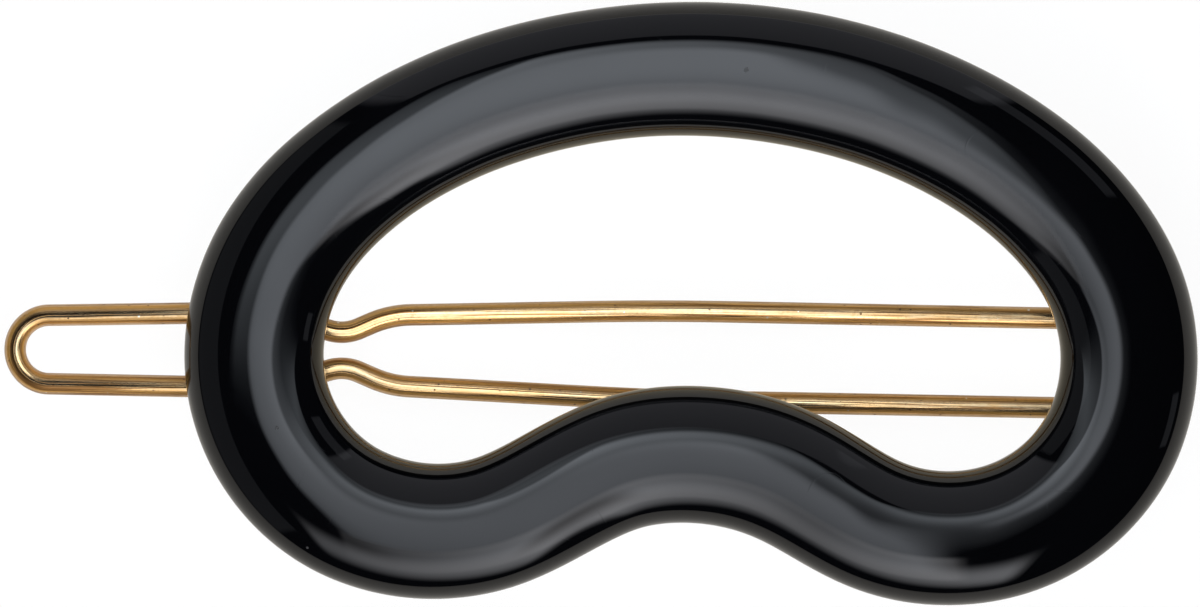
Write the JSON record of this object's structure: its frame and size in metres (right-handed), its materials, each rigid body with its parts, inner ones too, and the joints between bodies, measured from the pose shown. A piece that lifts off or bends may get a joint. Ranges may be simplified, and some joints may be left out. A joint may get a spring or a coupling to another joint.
{
  "type": "hair clip",
  "caption": "Kidney-shaped glossy black acetate ring worn over the hair, held from behind by a gold spring wire that hinges at one end and snaps over a ball stud.",
  "frame": {"origin": "under the middle of the clip, level with the lowest point of the ball, as the clip lies on its back", "axes": "+X along the clip from the wire's loop to its hinge, +Y across the ring towards its plain arch, +Z towards the ring's polished front"},
  "size_m": [0.066, 0.0332, 0.0105],
  "materials": {
    "black_acetate": "hand-polished, high gloss",
    "gold_plate": "turned and gold plated, polished",
    "gold_wire": "drawn spring wire, gold plated, with fine lines along it"
  },
  "bodies": {
    "ring": {"ornament_ring": "black_acetate", "ball_stud": "gold_plate", "hinge_barrel": "gold_plate"},
    "wire": {"spring_wire": "gold_wire"}
  },
  "joints": [
    {"name": "wire_swing", "type": "hinge", "parent": "ring", "child": "wire", "pos_m": [0.02925, -0.00337, 0.0026], "axis": [0, -1, 0], "range_deg": [0, 110]}
  ]
}
